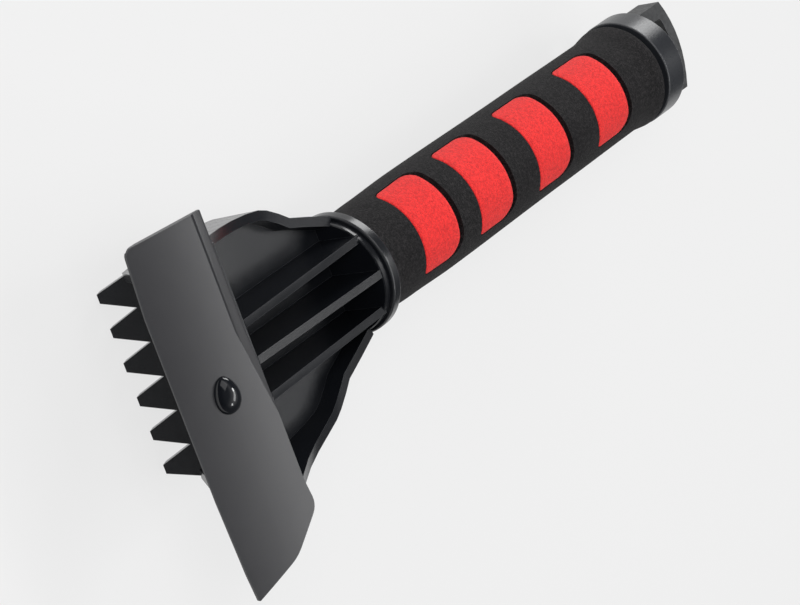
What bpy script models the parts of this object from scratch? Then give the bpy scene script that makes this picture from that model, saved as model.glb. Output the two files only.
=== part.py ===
"""Windshield ice scraper: a ribbed head with a blade and ice-breaking teeth on a foam-covered tube handle.

The handle's axis is the local X axis, with X = 0 at the rear face of the collar and the head towards +X.
The blade's long side runs along Y, and Z points away from the teeth. An empty carries every piece, and is
moved at the end so that the origin is the middle of the object's footprint, at its lowest level.
Lengths are in millimetres until they reach a mesh.
"""

import math

import bmesh
import bpy
from mathutils import Matrix, Vector

MM = 0.001
GAP = 0.3  # clearance kept between pieces that touch
TURN_STEPS = 48

# Handle
COLLAR_RADIUS = 18.5
COLLAR_LENGTH = 3.4
TUBE_RADIUS = 11.0
TUBE_WALL = 1.6
GRIP_LENGTH = 145.6
GRIP_FRONT_RADIUS = 15.7
GRIP_BARREL_RADIUS = 16.6
GRIP_WAIST_RADIUS = 16.0
GRIP_TAIL_RADIUS = 17.0
GRIP_FLARE = 8.0  # length of the flare at the tail
INLAY_CENTRES = (-24.6, -52.8, -84.5, -117.6)
INLAY_LENGTH = 16.8
INLAY_SHARE = 0.8  # inlay depth as a share of the foam's wall at the collar
INLAY_ANGLE = 113.0  # degrees of the grip's circumference
INLAY_TURN = -18.5  # degrees from straight up to the middle of an inlay, about +X
INLAY_GROOVE = 1.6  # open groove along each inlay's tail side

# Tail
WASHER_LENGTH = 1.4
WASHER_RADIUS = 15.0
TAIL_RING_LENGTH = 8.8
TAIL_RING_RADIUS = 17.2
PLUG_DEPTH = 22.0
LOOP_LENGTH = 15.5
LOOP_BULGE = 3.6
LOOP_WIDTH = 28.8
LOOP_THICKNESS = 8.0
SLOT_SETBACK = 4.5  # from the ring's tail end to the slot
SLOT_RIM = 4.0  # width of the rim left between the slot and the loop's far edge
SLOT_WIDTH = 19.4
PLUG_BOSS_STEP = 0.6  # how far the plug's boss stands above the tube
PIN_RADIUS = 2.0
PIN_SETBACK = 14.0

# Head
DRUM_RADIUS = 17.2
DRUM_LENGTH = 2.0
DRUM_CHAMFER = 0.3
SPIGOT_LENGTH = 28.0
SPIGOT_WALL = 2.5
HEAD_WALL = 2.8
THROUGH = 30.0  # length of a drill that passes right through a piece
WEB_TOP = -1.0
WEB_THICKNESS = 2.4
RIB_THICKNESS = 2.3
RIB_PITCH = 10.9
RIB_FRONT_HEIGHT = 15.8
FOOT_START = 8.0  # depth of the side walls' lower edge at the drum
HEAD_DEPTH = 17.0  # from the handle's axis down to the root of the teeth
SEAT_REAR = 70.5
SEAT_THICKNESS = 2.4
RIM_DROP = 0.62  # least distance from the seat's upper face down to the side walls' rim
RIB_REACH = 5.5  # how far the ribs run on under the seat, from its rear edge
TOOTH_COUNT = 6
TOOTH_PITCH = 10.4
TOOTH_HEIGHT = 9.8
TOOTH_TIP = 2.7
COMB_THICKNESS = 3.0
TOOTH_TRUNK = 7.0  # how far the comb's sheet runs up behind the front wall
COMB_RAKE = 24.0  # degrees that the teeth lean forward from straight down
COMB_ROOT = 66.6

# Blade
BLADE_WIDTH = 26.7
BLADE_SQUARE_END = 48.0
BLADE_POINT_END = 55.0
BLADE_THICKNESS = 2.2
BLADE_EDGE = 0.6  # thickness left along the sharpened front edge
BLADE_GRIND = 6.0  # width of the bevel ground under the front edge
BLADE_TILT = 14.05  # degrees, front edge down
BLADE_BOW = 1.2  # how far the front edge swells at its middle
BLADE_FACET = 3.9  # width of the bevel along the rear edge at the square end
BLADE_CENTRE = (85.1, 22.85)  # x and height of the top face on the centreline
STUD_RADIUS = 2.0
STUD_HEAD = (4.2, 5.5, 3.6)  # half width, half length and height of the egg-shaped head
SEAT_DRILL = 14.0
EGG_POINT = 0.16  # how much the egg narrows towards the blade's square end
NUT_RADIUS = 3.6
NUT_THICKNESS = 0.8

# The head's side walls: distance ahead of the collar's rear, half width at the rim, height of the rim,
# and half width at the foot
SIDE_WALL = (
    (4.0, 18.3, 4.7, 17.0),
    (5.5, 18.9, 4.8, 17.6),
    (12.5, 21.9, 4.8, 20.6),
    (20.0, 24.8, 5.0, 24.0),
    (23.5, 27.6, 5.1, 27.0),
    (27.8, 30.5, 5.3, 30.1),
    (31.5, 32.1, 5.8, 31.3),
    (38.0, 33.6, 7.0, 32.1),
    (46.0, 35.0, 9.0, 32.6),
    (54.0, 36.2, 11.8, 32.6),
    (62.0, 37.4, 15.6, 31.9),
    (66.6, 38.0, 18.0, 31.3),
    (72.0, 38.7, 20.4, 32.6),
    (76.0, 38.9, 22.0, 33.6),
    (89.0, 37.7, 18.7, 35.5),
    (92.6, 37.3, 17.6, 36.0),
)
FRONT_KNEE = (83.0, 5.4)  # where the front wall bends up to the blade's seat
FRONT_FOOT = (3.2, 5.2)  # how far the front wall starts behind and above the comb's root

GRIP_FRONT = -GAP
GRIP_TAIL = GRIP_FRONT - GRIP_LENGTH
WASHER_FRONT = GRIP_TAIL - GAP
RING_FRONT = WASHER_FRONT - WASHER_LENGTH - GAP
RING_TAIL = RING_FRONT - TAIL_RING_LENGTH
INLAY_DEPTH = INLAY_SHARE * (GRIP_FRONT_RADIUS - TUBE_RADIUS - GAP)
TUBE_FRONT = COLLAR_LENGTH
TUBE_TAIL = RING_FRONT - 1.5
TUBE_BORE = TUBE_RADIUS - TUBE_WALL
DRUM_REAR = COLLAR_LENGTH + GAP
DRUM_FRONT = DRUM_REAR + DRUM_LENGTH
SPIGOT_RADIUS = TUBE_BORE - GAP
TILT = math.radians(BLADE_TILT)


def clear_scene():
    for obj in list(bpy.data.objects):
        bpy.data.objects.remove(obj, do_unlink=True)
    for name in ("ice_scraper", "cutters"):
        collection = bpy.data.collections.new(name)
        bpy.context.scene.collection.children.link(collection)


def finish(name, colour, roughness, metallic=0.0):
    material = bpy.data.materials.new(name)
    material.use_nodes = True
    shader = material.node_tree.nodes["Principled BSDF"]
    shader.inputs["Base Color"].default_value = (*colour, 1.0)
    shader.inputs["Roughness"].default_value = roughness
    shader.inputs["Metallic"].default_value = metallic
    return material


def add_piece(name, mesh, material=None, cutter=False):
    """A sub-part on the carrier, or with cutter=True a hidden tool for a Boolean."""
    piece = bpy.data.objects.new(name, mesh)
    bpy.data.collections["cutters" if cutter else "ice_scraper"].objects.link(piece)
    piece.parent = bpy.data.objects["carrier"]
    if cutter:
        piece.hide_render = True
        piece.display_type = "WIRE"
    if material:
        mesh.materials.append(material)
    return piece


def boolean(piece, tool, operation):
    modifier = piece.modifiers.new(f"{operation.lower()}_{tool.name}", "BOOLEAN")
    modifier.operation = operation
    modifier.solver = "EXACT"
    modifier.object = tool


def turned(name, profile, material=None, cutter=False, steps=TURN_STEPS):
    """A solid turned about X. The profile is (radius, x) points, running to -X on the outer side."""
    mesh = bpy.data.meshes.new(name)
    points = [(radius * MM, 0, x * MM) for radius, x in profile]
    edges = [(i, i + 1) for i in range(len(points) - 1)]
    if profile[0][0] > 0:
        edges.append((len(points) - 1, 0))
    mesh.from_pydata(points, edges, [])
    piece = add_piece(name, mesh, material, cutter)
    piece.rotation_euler = (0, math.pi / 2, 0)
    screw = piece.modifiers.new("turn", "SCREW")
    screw.steps = screw.render_steps = steps
    screw.use_merge_vertices = True
    screw.merge_threshold = 0.00005
    return piece


def shell(name, rows, thickness, material=None, cutter=False, offset=-1.0):
    """An open surface through rows of points, thickened on the side away from its normals."""
    width = len(rows[0])
    mesh = bpy.data.meshes.new(name)
    points = [[value * MM for value in point] for row in rows for point in row]
    faces = []
    for i in range(len(rows) - 1):
        for j in range(width - 1):
            corner = i * width + j
            faces.append((corner, corner + 1, corner + width + 1, corner + width))
    mesh.from_pydata(points, [], faces)
    piece = add_piece(name, mesh, material, cutter)
    wall = piece.modifiers.new("wall", "SOLIDIFY")
    wall.thickness = thickness * MM
    wall.offset = offset
    wall.use_even_offset = True
    wall.use_quality_normals = True
    return piece


def plate(name, outline, thickness, matrix, material=None, cutter=False):
    """A flat plate from an outline in its own plane, centred on that plane."""
    curve = bpy.data.curves.new(name, "CURVE")
    curve.dimensions = "2D"
    curve.fill_mode = "BOTH"
    curve.extrude = thickness * MM / 2
    spline = curve.splines.new("POLY")
    spline.points.add(len(outline) - 1)
    for point, (u, v) in zip(spline.points, outline):
        point.co = (u * MM, v * MM, 0, 1)
    spline.use_cyclic_u = True
    guide = bpy.data.objects.new(name + "_outline", curve)
    bpy.data.collections["cutters"].objects.link(guide)
    graph = bpy.context.evaluated_depsgraph_get()
    mesh = bpy.data.meshes.new_from_object(guide.evaluated_get(graph))
    bpy.data.objects.remove(guide)
    weld = bmesh.new()
    weld.from_mesh(mesh)
    bmesh.ops.remove_doubles(weld, verts=weld.verts, dist=0.000005)
    bmesh.ops.recalc_face_normals(weld, faces=weld.faces)
    weld.to_mesh(mesh)
    weld.free()
    mesh.name = name
    piece = add_piece(name, mesh, material, cutter)
    piece.matrix_local = matrix
    return piece


def rounded(corners, steps=5):
    """An outline of (u, v, radius) corners, each turned as an arc of its radius."""
    outline = []
    for i, (u, v, radius) in enumerate(corners):
        here = Vector((u, v))
        before = (Vector(corners[i - 1][:2]) - here).normalized()
        after = (Vector(corners[(i + 1) % len(corners)][:2]) - here).normalized()
        if radius <= 0:
            outline.append((u, v))
            continue
        half = before.angle(after) / 2
        reach = radius / math.tan(half)
        centre = here + (before + after).normalized() * (radius / math.sin(half))
        start = here + before * reach - centre
        end = here + after * reach - centre
        sweep = math.atan2(start.x * end.y - start.y * end.x, start.dot(end))
        for step in range(steps + 1):
            turn = Matrix.Rotation(sweep * step / steps, 2)
            point = centre + turn @ start
            outline.append((point.x, point.y))
    return outline


def side_plane(x=0.0, y=0.0, z=0.0):
    """Places an outline's u along X and v along Z, seen from -Y."""
    return Matrix.Translation(Vector((x, y, z)) * MM) @ Matrix.Rotation(math.pi / 2, 4, "X")


def blade_plane(raise_by=0.0):
    """Places an outline's u towards the front edge and v along Y, on the blade's tilted top face."""
    turn = Matrix.Rotation(TILT, 4, "Y")
    middle = Vector((BLADE_CENTRE[0], 0, BLADE_CENTRE[1])) * MM
    return Matrix.Translation(middle) @ turn @ Matrix.Translation((0, 0, raise_by * MM))


def seat_height(x):
    """Height of the seat's upper face, a gap below the blade's underside."""
    drop = (BLADE_THICKNESS + GAP) / math.cos(TILT)
    return BLADE_CENTRE[1] - (x - BLADE_CENTRE[0]) * math.tan(TILT) - drop


def rim_height(x):
    """Height of the side wall's rim, which never comes above the blade's seat."""
    rim = along_wall(x, 2)
    return min(rim, seat_height(x) - RIM_DROP) if x > SEAT_REAR else rim


def along_wall(x, column):
    """A column of SIDE_WALL at any distance ahead of the collar."""
    for first, second in zip(SIDE_WALL, SIDE_WALL[1:]):
        if x <= second[0]:
            share = (x - first[0]) / (second[0] - first[0])
            return first[column] + (second[column] - first[column]) * share
    return SIDE_WALL[-1][column]


def wall_width(x, z):
    """The head's half width at a place on its flared side wall."""
    rim, foot = rim_height(x), wall_foot(x)
    return along_wall(x, 1) + (along_wall(x, 3) - along_wall(x, 1)) * (rim - z) / (rim - foot)


def wall_foot(x):
    """Height of the side wall's lower edge: level with the comb's root, then along the front wall."""
    knee_x, knee_z = FRONT_KNEE
    if x <= COMB_ROOT:
        start = SIDE_WALL[0][0]
        return -FOOT_START - (HEAD_DEPTH - FOOT_START) * (x - start) / (COMB_ROOT - start)
    if x <= knee_x:
        return -HEAD_DEPTH + (knee_z + HEAD_DEPTH) * (x - COMB_ROOT) / (knee_x - COMB_ROOT)
    front_x = SIDE_WALL[-1][0]
    return knee_z + (seat_height(front_x) - 2.5 - knee_z) * (x - knee_x) / (front_x - knee_x)


def cylinder(name, radius, length, matrix, material=None, cutter=False, sides=24):
    mesh = bpy.data.meshes.new(name)
    form = bmesh.new()
    bmesh.ops.create_cone(
        form, cap_ends=True, segments=sides, radius1=radius * MM, radius2=radius * MM, depth=length * MM
    )
    form.to_mesh(mesh)
    form.free()
    piece = add_piece(name, mesh, material, cutter)
    piece.matrix_local = matrix
    return piece


def side_wall(side):
    """One tall flared wall, from the drum to the blade's seat, with its wavy rim."""
    rows = []
    stations = sorted({point[0] for point in SIDE_WALL} | {COMB_ROOT})
    for x in stations:
        rim, foot = rim_height(x), wall_foot(x)
        rows.append([(x, side * wall_width(x, z), z) for z in (rim, foot)])
    if side > 0:
        rows = [row[::-1] for row in rows]
    name = "wall_right" if side < 0 else "wall_left"
    return shell(name, rows, HEAD_WALL, cutter=True)


def front_box():
    """Front wall and blade seat: one bent sheet between the side walls."""
    front_x = SIDE_WALL[-1][0]
    path = (
        (COMB_ROOT - FRONT_FOOT[0], FRONT_FOOT[1] - HEAD_DEPTH),
        FRONT_KNEE,
        (front_x, seat_height(front_x)),
        (SEAT_REAR, seat_height(SEAT_REAR)),
    )
    rows = []
    for x, z in path:
        half = wall_width(x, z) - HEAD_WALL / 2
        rows.append([(x, -half, z), (x, half, z)])
    return shell("front_box", rows, SEAT_THICKNESS, cutter=True)


def front_wall_middle(x):
    """Height of the middle of the front wall's sheet."""
    foot_x, foot_z = COMB_ROOT - FRONT_FOOT[0], FRONT_FOOT[1] - HEAD_DEPTH
    slope = (FRONT_KNEE[1] - foot_z) / (FRONT_KNEE[0] - foot_x)
    return foot_z + slope * (x - foot_x) + SEAT_THICKNESS / 2 * math.hypot(1, slope)


def web():
    """The flat floor between the ribs, from the drum to the front wall."""
    level = WEB_TOP - WEB_THICKNESS / 2
    stations = [point[0] for point in SIDE_WALL if DRUM_FRONT < point[0] < SEAT_REAR]
    stations = [DRUM_FRONT - 1, *stations, SEAT_REAR + SEAT_THICKNESS - GAP]
    edge = [(x, wall_width(x, level) - HEAD_WALL / 2) for x in stations]
    outline = edge + [(x, -y) for x, y in reversed(edge)]
    return plate("web", outline, WEB_THICKNESS, Matrix.Translation((0, 0, level * MM)), cutter=True)


def rib(index):
    """A rib on both faces of the web, from the drum's front face to the front wall, below the blade's seat."""
    y = index * RIB_PITCH
    drum_height = math.sqrt((DRUM_RADIUS - 0.3) ** 2 - y * y)
    front = SEAT_REAR + RIB_REACH
    outline = (
        (DRUM_FRONT - 1, drum_height),
        (SEAT_REAR - 8.5, RIB_FRONT_HEIGHT),
        (SEAT_REAR, seat_height(SEAT_REAR) - 1),
        (front, seat_height(front) - 1),
        (front, front_wall_middle(front)),
        (COMB_ROOT - 2, front_wall_middle(COMB_ROOT - 2)),
        (COMB_ROOT - 2.5, 1.5 - HEAD_DEPTH),
        (DRUM_FRONT - 1, 1 - drum_height),
    )
    return plate(f"rib_{index + 2}", outline, RIB_THICKNESS, side_plane(y=y), cutter=True)


def comb():
    """The row of blunt teeth below the front wall. v runs towards the tips."""
    half = TOOTH_COUNT * TOOTH_PITCH / 2
    outline = [(-half, -TOOTH_TRUNK), (-half, -2)]
    for k in range(TOOTH_COUNT):
        middle = (k + 0.5) * TOOTH_PITCH - half
        outline += [(middle - TOOTH_TIP / 2, TOOTH_HEIGHT), (middle + TOOTH_TIP / 2, TOOTH_HEIGHT)]
        if k < TOOTH_COUNT - 1:
            outline.append((middle + TOOTH_PITCH / 2, 0))
    outline += [(half, -2), (half, -TOOTH_TRUNK)]
    turn = Matrix.Rotation(math.radians(90 - COMB_RAKE), 4, "Y") @ Matrix.Rotation(math.pi / 2, 4, "Z")
    turn = turn @ Matrix.Scale(-1, 4, (0, 1, 0)) @ Matrix.Scale(-1, 4, (0, 0, 1))
    root = Vector((COMB_ROOT - COMB_THICKNESS / 2, 0, -HEAD_DEPTH)) * MM
    return plate("comb", outline, COMB_THICKNESS, Matrix.Translation(root) @ turn, cutter=True)


def head_body(material):
    """The moulded head: drum and spigot, web, ribs, side walls, front wall, seat and comb as one solid."""
    spigot_end = DRUM_REAR - SPIGOT_LENGTH
    profile = (
        (0, DRUM_FRONT),
        (DRUM_RADIUS - DRUM_CHAMFER, DRUM_FRONT),
        (DRUM_RADIUS, DRUM_FRONT - DRUM_CHAMFER),
        (DRUM_RADIUS, DRUM_REAR),
        (SPIGOT_RADIUS, DRUM_REAR),
        (SPIGOT_RADIUS, spigot_end),
        (SPIGOT_RADIUS - SPIGOT_WALL, spigot_end),
        (SPIGOT_RADIUS - SPIGOT_WALL, DRUM_REAR - SPIGOT_WALL),
        (0, DRUM_REAR - SPIGOT_WALL),
    )
    head = turned("head_body", profile, material)
    for tool in (side_wall(-1), side_wall(1), web(), front_box(), rib(-1), rib(0), rib(1), comb()):
        boolean(head, tool, "UNION")
    hole = cylinder("stud_hole_in_seat", STUD_RADIUS + GAP, SEAT_DRILL, blade_plane(-BLADE_THICKNESS - 4), cutter=True)
    boolean(head, hole, "DIFFERENCE")
    pin_hole = cylinder("pin_hole_in_spigot", PIN_RADIUS + GAP, THROUGH, neck_pin_place(), cutter=True)
    boolean(head, pin_hole, "DIFFERENCE")


def blade(material):
    """A flat blade with one square end, one raked point, and a bevel that fades along its rear edge."""
    front, rear = BLADE_WIDTH / 2, -BLADE_WIDTH / 2
    outline = rounded(
        (
            (front - 0.2, -BLADE_SQUARE_END, 2.6),
            (front + BLADE_BOW, -BLADE_SQUARE_END * 0.6, 0),
            (front + BLADE_BOW, BLADE_POINT_END * 0.45, 0),
            (front + BLADE_BOW * 0.4, BLADE_POINT_END * 0.85, 0),
            (front - 0.2, BLADE_POINT_END, 0.4),
            (rear * 0.2, BLADE_POINT_END * 0.9, 14),
            (rear - 0.9, BLADE_POINT_END * 0.72, 5),
            (rear, BLADE_POINT_END * 0.58, 0),
            (rear, -BLADE_SQUARE_END, 0.4),
        )
    )
    body = plate("scraper_blade", outline, BLADE_THICKNESS, blade_plane(-BLADE_THICKNESS / 2), material)
    hole = cylinder("stud_hole_in_blade", STUD_RADIUS + GAP, SEAT_DRILL, blade_plane(), cutter=True)
    boolean(body, hole, "DIFFERENCE")
    boolean(body, facet_cutter(), "DIFFERENCE")
    boolean(body, grind_cutter(), "DIFFERENCE")


def facet_cutter():
    """A wedge above the bevel on the blade's rear edge: full width at the square end, then fading out."""
    rear = -BLADE_WIDTH / 2
    drop = BLADE_THICKNESS * 0.7
    fade = ((-BLADE_SQUARE_END - 2, 1.0), (-BLADE_SQUARE_END * 0.3, 1.0), (BLADE_SQUARE_END * 0.24, 0.02))
    form = bmesh.new()
    rings = []
    for y, share in fade:
        inner, low = rear + BLADE_FACET * share, -drop * share
        slope = low / (BLADE_FACET * share)
        points = ((inner + 1.5, -slope * 1.5), (inner + 1.5, 4), (rear - 3, 4), (rear - 3, low + slope * 3))
        rings.append([form.verts.new((u * MM, y * MM, w * MM)) for u, w in points])
    for first, second in zip(rings, rings[1:]):
        for i in range(4):
            form.faces.new((first[i], first[i - 1], second[i - 1], second[i]))
    form.faces.new(rings[0])
    form.faces.new(rings[-1][::-1])
    bmesh.ops.recalc_face_normals(form, faces=form.faces)
    mesh = bpy.data.meshes.new("blade_facet")
    form.to_mesh(mesh)
    form.free()
    tool = add_piece("blade_facet", mesh, cutter=True)
    tool.matrix_local = blade_plane()
    return tool


def grind_cutter():
    """A wedge below the blade that thins its front edge."""
    edge = BLADE_WIDTH / 2 + BLADE_BOW
    low = -BLADE_THICKNESS
    slope = (BLADE_THICKNESS - BLADE_EDGE) / BLADE_GRIND
    outline = ((edge - BLADE_GRIND, low), (edge + 3, low + slope * (BLADE_GRIND + 3)), (edge + 3, low - 4))
    outline += ((edge - BLADE_GRIND - 2, low - 4), (edge - BLADE_GRIND - 2, low - slope * 2))
    place = blade_plane() @ Matrix.Rotation(math.pi / 2, 4, "X")
    return plate("blade_grind", outline, 3 * BLADE_POINT_END, place, cutter=True)


def blade_stud(material):
    """The egg-shaped head on the blade, with a shank through the blade and its seat."""
    half_width, half_length, height = STUD_HEAD
    mesh = bpy.data.meshes.new("blade_stud")
    form = bmesh.new()
    bmesh.ops.create_uvsphere(form, u_segments=28, v_segments=16, radius=1)
    lower = [vert for vert in form.verts if vert.co.z < -0.01]
    bmesh.ops.delete(form, geom=lower, context="VERTS")
    bmesh.ops.holes_fill(form, edges=form.edges[:])
    for vert in form.verts:
        narrowing = 1 + EGG_POINT * vert.co.y
        vert.co.x *= half_width * narrowing * MM
        vert.co.y *= half_length * MM
        vert.co.z *= height * MM
    bmesh.ops.recalc_face_normals(form, faces=form.faces)
    form.to_mesh(mesh)
    form.free()
    stud = add_piece("blade_stud", mesh, material)
    stud.matrix_local = blade_plane(GAP)
    length = BLADE_THICKNESS + SEAT_THICKNESS + 2 * GAP + NUT_THICKNESS + 2.5
    shank = cylinder("stud_shank", STUD_RADIUS, length + 1, blade_plane(GAP + 1 - (length + 1) / 2), cutter=True)
    boolean(stud, shank, "UNION")


def stud_push_nut(material):
    """The spring-steel ring that holds the stud below the seat."""
    outer, inner = NUT_RADIUS, STUD_RADIUS + GAP
    top = -BLADE_THICKNESS - SEAT_THICKNESS - 2 * GAP
    profile = ((outer, top), (outer, top - NUT_THICKNESS), (inner, top - NUT_THICKNESS), (inner, top))
    nut = turned("stud_push_nut", profile, material, steps=24)
    nut.matrix_local = blade_plane()


def grip_radius(x):
    """The foam's outer radius: slimmer at the collar, fullest a quarter of the way along, flared at the tail."""
    knots = (
        (GRIP_TAIL, GRIP_TAIL_RADIUS),
        (GRIP_TAIL + GRIP_FLARE, GRIP_WAIST_RADIUS),
        (GRIP_TAIL + 0.35 * GRIP_LENGTH, GRIP_WAIST_RADIUS + 0.2),
        (GRIP_FRONT - 0.24 * GRIP_LENGTH, GRIP_BARREL_RADIUS),
        (GRIP_FRONT - 0.1 * GRIP_LENGTH, GRIP_FRONT_RADIUS + 0.5),
        (GRIP_FRONT, GRIP_FRONT_RADIUS),
    )
    for (x0, r0), (x1, r1) in zip(knots, knots[1:]):
        if x <= x1:
            share = max(0.0, (x - x0) / (x1 - x0))
            return r0 + (r1 - r0) * (3 - 2 * share) * share * share
    return GRIP_FRONT_RADIUS


def inlay_block(name, centre, grow, tail_grow, proud, depth, material=None, cutter=False):
    """A rounded patch of the grip's surface, with its own depth. Used for an inlay and for its pocket."""
    rows = []
    half_angle = math.radians(INLAY_ANGLE / 2) + grow / GRIP_BARREL_RADIUS
    middle = math.radians(INLAY_TURN)
    low, high = centre - INLAY_LENGTH / 2 - grow - tail_grow, centre + INLAY_LENGTH / 2 + grow
    steps = 8
    for i in range(steps + 1):
        s = 2 * i / steps - 1
        row = []
        for j in range(2 * steps + 1):
            t = j / steps - 1
            x = (low + high) / 2 + (high - low) / 2 * s * math.sqrt(1 - 0.22 * t**8)
            angle = middle + half_angle * t * math.sqrt(1 - 0.10 * s**4)
            radius = grip_radius(x) + proud
            row.append((x, radius * math.sin(angle), radius * math.cos(angle)))
        rows.append(row)
    return shell(name, rows, depth, material, cutter, offset=1.0)


def grip(black, red):
    """The foam sleeve with its pockets, and the red foam inlays in them."""
    bore = TUBE_RADIUS + GAP
    flare = [GRIP_TAIL + GRIP_FLARE * k / 4 for k in range(5)]
    body = GRIP_LENGTH - GRIP_FLARE
    outer = [GRIP_FRONT - body * k / 15 for k in range(15)] + flare[::-1]
    profile = [(grip_radius(x), x) for x in outer] + [(bore, GRIP_TAIL), (bore, GRIP_FRONT)]
    sleeve = turned("foam_grip", profile, black)
    for number, centre in enumerate(INLAY_CENTRES, 1):
        pocket = inlay_block(f"pocket_{number}", centre, GAP, INLAY_GROOVE, 2, INLAY_DEPTH + GAP + 2, cutter=True)
        boolean(sleeve, pocket, "DIFFERENCE")
        inlay_block(f"grip_inlay_{number}", centre, 0, 0, 0, INLAY_DEPTH, red)


def ring(name, radius, bore, front, length, chamfer, material):
    profile = (
        (radius - chamfer, front),
        (radius, front - chamfer),
        (radius, front - length + chamfer),
        (radius - chamfer, front - length),
        (bore, front - length),
        (bore, front),
    )
    return turned(name, profile, material)


def neck_pin_place():
    return Matrix.Translation(((TUBE_FRONT - PIN_SETBACK) * MM, 0, 0))


def tail_pin_place():
    return Matrix.Translation(((TUBE_TAIL + PIN_SETBACK) * MM, 0, 0))


def handle_tube(material):
    profile = (
        (TUBE_RADIUS, TUBE_FRONT),
        (TUBE_RADIUS, TUBE_TAIL),
        (TUBE_BORE, TUBE_TAIL),
        (TUBE_BORE, TUBE_FRONT),
    )
    tube = turned("handle_tube", profile, material)
    for name, place in (("neck", neck_pin_place()), ("tail", tail_pin_place())):
        hole = cylinder(f"{name}_pin_hole_in_tube", PIN_RADIUS + GAP, THROUGH, place, cutter=True)
        boolean(tube, hole, "DIFFERENCE")
        cylinder(f"{name}_pin", PIN_RADIUS, 2 * TUBE_RADIUS, place, bpy.data.materials["zinc_steel"])


def end_plug(material):
    """The plug in the tube's end, with the hanging loop on it."""
    boss = TUBE_RADIUS + PLUG_BOSS_STEP
    front = TUBE_TAIL - GAP
    nose = TUBE_TAIL + PLUG_DEPTH
    profile = (
        (0, nose),
        (SPIGOT_RADIUS - 1, nose),
        (SPIGOT_RADIUS, nose - 1),
        (SPIGOT_RADIUS, front),
        (boss, front),
        (boss, RING_TAIL - GAP),
        (boss + 3, RING_TAIL - GAP),
        (boss + 3, RING_TAIL - GAP - 1.5),
        (0, RING_TAIL - GAP - 1.5),
    )
    plug = turned("end_plug", profile, material)
    half = LOOP_WIDTH / 2
    root, end = RING_TAIL - GAP, RING_TAIL - LOOP_LENGTH
    arc = []
    for k in range(9):
        v = half - 2 * half * k / 8
        arc.append((end - LOOP_BULGE * (1 - (v / half) ** 2), v))
    outline = [(root, -half), (root, half), *arc]
    loop = plate("hanging_loop", outline, LOOP_THICKNESS, Matrix(), cutter=True)
    boolean(plug, loop, "UNION")
    slot_front, side = root - SLOT_SETBACK, SLOT_WIDTH / 2
    far = [(u + SLOT_RIM, v) for u, v in arc if abs(v) < side - 1]
    far_end = end + SLOT_RIM - LOOP_BULGE * (1 - (side / half) ** 2)
    corners = [(slot_front, -side, 1.5), (slot_front, side, 1.5), (far_end, side, 1.5)]
    corners += [(u, v, 0) for u, v in far] + [(far_end, -side, 1.5)]
    corners = rounded(corners)
    slot = plate("loop_slot", corners, LOOP_THICKNESS + 4, Matrix(), cutter=True)
    boolean(plug, slot, "DIFFERENCE")
    pin_hole = cylinder("pin_hole_in_plug", PIN_RADIUS + GAP, THROUGH, tail_pin_place(), cutter=True)
    boolean(plug, pin_hole, "DIFFERENCE")


def settle_origin():
    """Moves the carrier so that the object's box is centred on the origin and stands on Z = 0."""
    bpy.context.view_layer.update()
    graph = bpy.context.evaluated_depsgraph_get()
    points = []
    for piece in bpy.data.collections["ice_scraper"].objects:
        if piece.type == "MESH":
            solid = piece.evaluated_get(graph)
            points += [solid.matrix_world @ vert.co for vert in solid.data.vertices]
    low = [min(point[axis] for point in points) for axis in range(3)]
    high = [max(point[axis] for point in points) for axis in range(3)]
    middle_x, middle_y = (low[0] + high[0]) / 2, (low[1] + high[1]) / 2
    bpy.data.objects["carrier"].location = (-middle_x, -middle_y, -low[2])


def main():
    clear_scene()
    carrier = bpy.data.objects.new("carrier", None)
    bpy.data.collections["ice_scraper"].objects.link(carrier)
    gloss_black = finish("gloss_black_plastic", (0.012, 0.012, 0.014), 0.25)
    blade_grey = finish("blade_grey_plastic", (0.085, 0.087, 0.093), 0.38)
    slate = finish("slate_plastic", (0.045, 0.05, 0.06), 0.35)
    black_foam = finish("black_foam", (0.021, 0.02, 0.02), 0.95)
    red_foam = finish("red_foam", (0.82, 0.045, 0.035), 0.9)
    textured_black = finish("textured_black_plastic", (0.03, 0.03, 0.034), 0.6)
    washer_black = finish("washer_black", (0.01, 0.01, 0.011), 0.5)
    aluminium = finish("tube_aluminium", (0.7, 0.71, 0.72), 0.35, 1.0)
    zinc = finish("zinc_steel", (0.6, 0.6, 0.58), 0.35, 1.0)

    head_body(gloss_black)
    blade(blade_grey)
    blade_stud(gloss_black)
    stud_push_nut(zinc)
    ring("collar_ring", COLLAR_RADIUS, TUBE_RADIUS + GAP, COLLAR_LENGTH, COLLAR_LENGTH, 0.7, slate)
    handle_tube(aluminium)
    grip(black_foam, red_foam)
    ring("tail_washer", WASHER_RADIUS, TUBE_RADIUS + GAP, WASHER_FRONT, WASHER_LENGTH, 0.3, washer_black)
    ring("tail_ring", TAIL_RING_RADIUS, TUBE_RADIUS + PLUG_BOSS_STEP + GAP, RING_FRONT, TAIL_RING_LENGTH, 0.6, slate)
    end_plug(textured_black)
    settle_origin()


main()
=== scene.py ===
import math

import bpy
from mathutils import Matrix, Vector


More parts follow.
